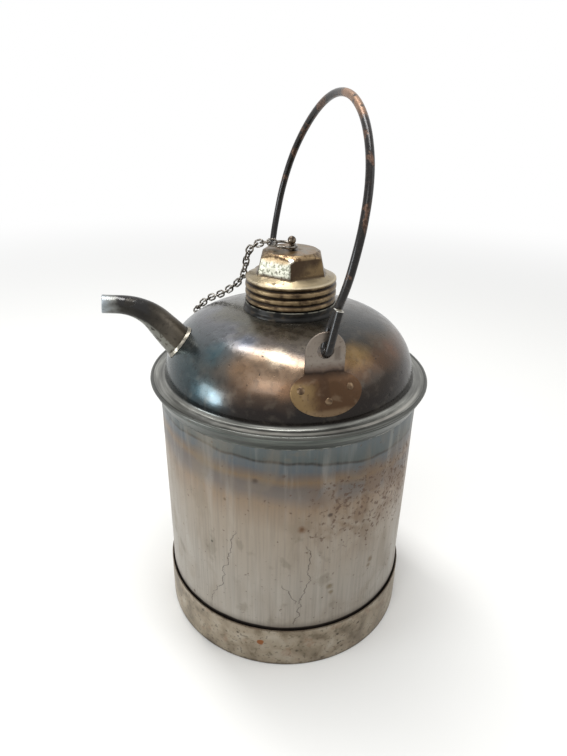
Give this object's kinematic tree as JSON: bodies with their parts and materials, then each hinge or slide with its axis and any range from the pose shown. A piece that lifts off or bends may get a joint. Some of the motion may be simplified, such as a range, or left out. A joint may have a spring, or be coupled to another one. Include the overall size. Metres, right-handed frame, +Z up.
{
  "type": "fuel can",
  "caption": "Round steel fuel can with a domed top, curved tapered spout, chained hexagonal screw cap and a wire bail handle.",
  "frame": {"origin": "on the floor, under the middle of the round body", "axes": "+Z up along the can's axis; the spout points along -X; the bail's ears and pivots lie on the Y axis"},
  "size_m": [0.1906, 0.1684, 0.3232],
  "materials": {
    "body_steel": "dull worn steel with fine vertical brushing, rust specks and temper bands under the shoulder",
    "base_steel": "dull worn steel with rust spots and a dark lower edge",
    "dome_steel": "polished steel with blue, amber and brown temper colours",
    "skirt_steel": "dark oxidised steel, bright on the rolled edge",
    "neck_metal": "near-black oxidised cast metal",
    "cap_metal": "worn nickel over brass, pitted",
    "gasket_cork": "brown cork and rubber",
    "stud_metal": "dark worn steel",
    "chain_steel": "bright worn steel wire",
    "spout_metal": "dark oxidised steel with a bright tip and black residue",
    "solder": "bright grey solder",
    "ear_steel": "matte grey-pink tab, amber foot",
    "rivet_steel": "dark oxidised heads",
    "bail_wire": "black paint worn to brown steel at the top"
  },
  "bodies": {
    "can": {"body_shell": "body_steel", "bottom_disc": "base_steel", "base_band": "base_steel", "shoulder_band": "skirt_steel", "dome_top": "dome_steel", "neck_collar": "neck_metal", "chain_lower": "chain_steel", "chain_eye": "solder", "spout_tube": "spout_metal", "spout_collar": "solder", "ear_front": "ear_steel", "ear_back": "ear_steel", "ear_rivets": "rivet_steel"},
    "ring_and_upper_chain": {"chain_ring": "chain_steel", "chain_upper": "chain_steel"},
    "cap": {"filler_cap": "cap_metal", "cap_gasket": "gasket_cork", "cap_stud": "stud_metal"},
    "bail": {"bail": "bail_wire"},
    "chain_link_1": {"chain_link_1": "chain_steel"},
    "chain_link_2": {"chain_link_2": "chain_steel"},
    "chain_link_3": {"chain_link_3": "chain_steel"},
    "chain_link_4": {"chain_link_4": "chain_steel"},
    "chain_link_5": {"chain_link_5": "chain_steel"},
    "chain_link_6": {"chain_link_6": "chain_steel"},
    "chain_link_7": {"chain_link_7": "chain_steel"},
    "chain_link_8": {"chain_link_8": "chain_steel"},
    "chain_link_9": {"chain_link_9": "chain_steel"}
  },
  "joints": [
    {"name": "cap_lift", "type": "slide", "parent": "can", "child": "ring_and_upper_chain", "axis": [0, 0, 1], "range_m": [0, 0.00526]},
    {"name": "cap_turn", "type": "hinge", "parent": "ring_and_upper_chain", "child": "cap", "pos_m": [0, 0, 0.22602], "axis": [0, 0, 1], "range_deg": [0, 540]},
    {"name": "bail_swing", "type": "hinge", "parent": "can", "child": "bail", "pos_m": [0, 0, 0.2042], "axis": [0, 1, 0], "range_deg": [-128, 104]},
    {"name": "link_1_rise", "type": "slide", "parent": "can", "child": "chain_link_1", "axis": [0, 0, 1], "range_m": [0, 0.00473]},
    {"name": "link_2_rise", "type": "slide", "parent": "can", "child": "chain_link_2", "axis": [0, 0, 1], "range_m": [0, 0.00421]},
    {"name": "link_3_rise", "type": "slide", "parent": "can", "child": "chain_link_3", "axis": [0, 0, 1], "range_m": [0, 0.00368]},
    {"name": "link_4_rise", "type": "slide", "parent": "can", "child": "chain_link_4", "axis": [0, 0, 1], "range_m": [0, 0.00316]},
    {"name": "link_5_rise", "type": "slide", "parent": "can", "child": "chain_link_5", "axis": [0, 0, 1], "range_m": [0, 0.00264]},
    {"name": "link_6_rise", "type": "slide", "parent": "can", "child": "chain_link_6", "axis": [0, 0, 1], "range_m": [0, 0.00211]},
    {"name": "link_7_rise", "type": "slide", "parent": "can", "child": "chain_link_7", "axis": [0, 0, 1], "range_m": [0, 0.00159]},
    {"name": "link_8_rise", "type": "slide", "parent": "can", "child": "chain_link_8", "axis": [0, 0, 1], "range_m": [0, 0.00106]},
    {"name": "link_9_rise", "type": "slide", "parent": "can", "child": "chain_link_9", "axis": [0, 0, 1], "range_m": [0, 0.000535]}
  ],
  "couplings": [
    {"joint": "cap_lift", "follows": "cap_turn", "m_per_rad": 0.00055704},
    {"joint": "link_1_rise", "follows": "cap_turn", "m_per_rad": 0.00050134},
    {"joint": "link_2_rise", "follows": "cap_turn", "m_per_rad": 0.00044563},
    {"joint": "link_3_rise", "follows": "cap_turn", "m_per_rad": 0.00038993},
    {"joint": "link_4_rise", "follows": "cap_turn", "m_per_rad": 0.00033423},
    {"joint": "link_5_rise", "follows": "cap_turn", "m_per_rad": 0.00027852},
    {"joint": "link_6_rise", "follows": "cap_turn", "m_per_rad": 0.00022282},
    {"joint": "link_7_rise", "follows": "cap_turn", "m_per_rad": 0.00016711},
    {"joint": "link_8_rise", "follows": "cap_turn", "m_per_rad": 0.00011141},
    {"joint": "link_9_rise", "follows": "cap_turn", "m_per_rad": 0.000055704}
  ]
}
